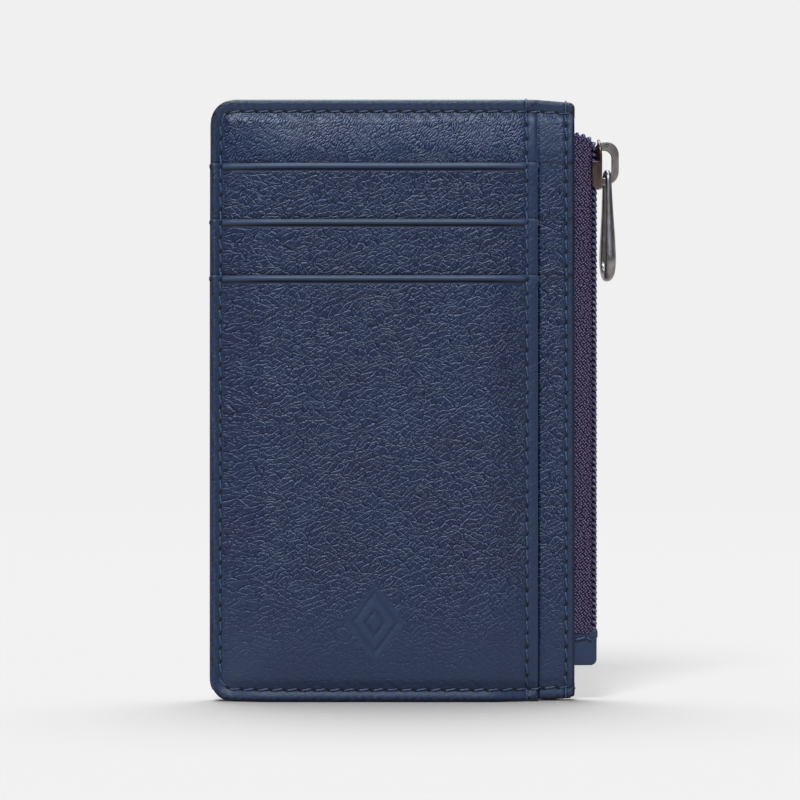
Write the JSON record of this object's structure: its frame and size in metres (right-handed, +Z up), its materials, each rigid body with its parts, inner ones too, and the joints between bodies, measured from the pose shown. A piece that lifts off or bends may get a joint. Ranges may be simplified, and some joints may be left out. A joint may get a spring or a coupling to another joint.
{
  "type": "zip card holder",
  "caption": "Slim upright leather card holder with stepped open card slots on the front and a zipped pocket that opens along one long side.",
  "frame": {"origin": "middle of the bottom edge it stands on, in the plane midway between the front and rear walls of the zipped pocket", "axes": "+Z up along the long sides, +X across the front to the zip side, +Y out of the plain back"},
  "size_m": [0.0845, 0.0123, 0.125],
  "materials": {
    "leather": "pebble-grained navy cowhide with a low satin shine and turned edges",
    "lining": "dark blue woven lining, matt",
    "board": "thin grey-brown fibre board, matt",
    "thread": "twisted polyester sewing thread, a little bluer and lighter than the leather",
    "tape": "woven zip tape, dark purple-navy",
    "coil": "dark blue polyester coil elements with a soft shine",
    "metal": "dark gunmetal plating, smooth with a brownish tint"
  },
  "bodies": {
    "wallet": {"rear_panel": "leather", "front_panel": "leather", "top_turned_edge": "leather", "left_turned_edge": "leather", "bottom_turned_edge": "leather", "card_back_panel": "leather", "slot_1_strip": "leather", "slot_2_strip": "leather", "front_pocket_panel": "leather", "zip_end_tab": "leather", "slot_1_bottom_hem": "leather", "slot_1_left_hem": "leather", "slot_1_right_hem": "leather", "slot_2_bottom_hem": "leather", "slot_2_left_hem": "leather", "slot_2_right_hem": "leather", "slot_3_bottom_hem": "leather", "slot_3_left_hem": "leather", "slot_3_right_hem": "leather", "rear_lining": "lining", "front_lining": "lining", "slot_1_bag": "lining", "slot_2_bag": "lining", "slot_1_floor": "lining", "slot_2_floor": "lining", "rear_stiffener": "board", "front_stiffener": "board", "front_left_thread": "thread", "card_seam_thread": "thread", "front_top_thread": "thread", "front_bottom_thread": "thread", "front_zip_thread": "thread", "rear_zip_thread": "thread", "rear_left_thread": "thread", "rear_top_thread": "thread", "rear_bottom_thread": "thread", "tab_thread": "thread", "front_tape_margin": "tape", "rear_tape_margin": "tape", "front_zip_end": "tape", "rear_zip_end": "tape"},
    "slider": {"slider_body": "metal", "slider_bail": "metal"},
    "pull": {"pull_loop": "metal"},
    "front_zip_half": {"front_zip_tape": "tape", "front_coil": "coil"},
    "rear_zip_half": {"rear_zip_tape": "tape", "rear_coil": "coil"}
  },
  "joints": [
    {"name": "slider_travel", "type": "slide", "parent": "wallet", "child": "slider", "axis": [0, 0, -1], "range_m": [0, 0.0915], "deforming": ["front_zip_tape", "front_coil", "rear_zip_tape", "rear_coil"]},
    {"name": "pull_swing", "type": "hinge", "parent": "slider", "child": "pull", "pos_m": [0.04475, 0, 0.11005], "axis": [0, -1, 0], "range_deg": [0, 170]},
    {"name": "front_zip_splay", "type": "hinge", "parent": "wallet", "child": "front_zip_half", "pos_m": [0.0378, -0.0024, 0.065], "axis": [0, 0, -1], "range_deg": [0, 22]},
    {"name": "rear_zip_splay", "type": "hinge", "parent": "wallet", "child": "rear_zip_half", "pos_m": [0.0378, 0.0024, 0.065], "axis": [0, 0, 1], "range_deg": [0, 22]}
  ],
  "couplings": [
    {"joint": "front_zip_splay", "follows": "slider_travel", "rad_per_m": 4.1964},
    {"joint": "rear_zip_splay", "follows": "slider_travel", "rad_per_m": 4.1964}
  ]
}
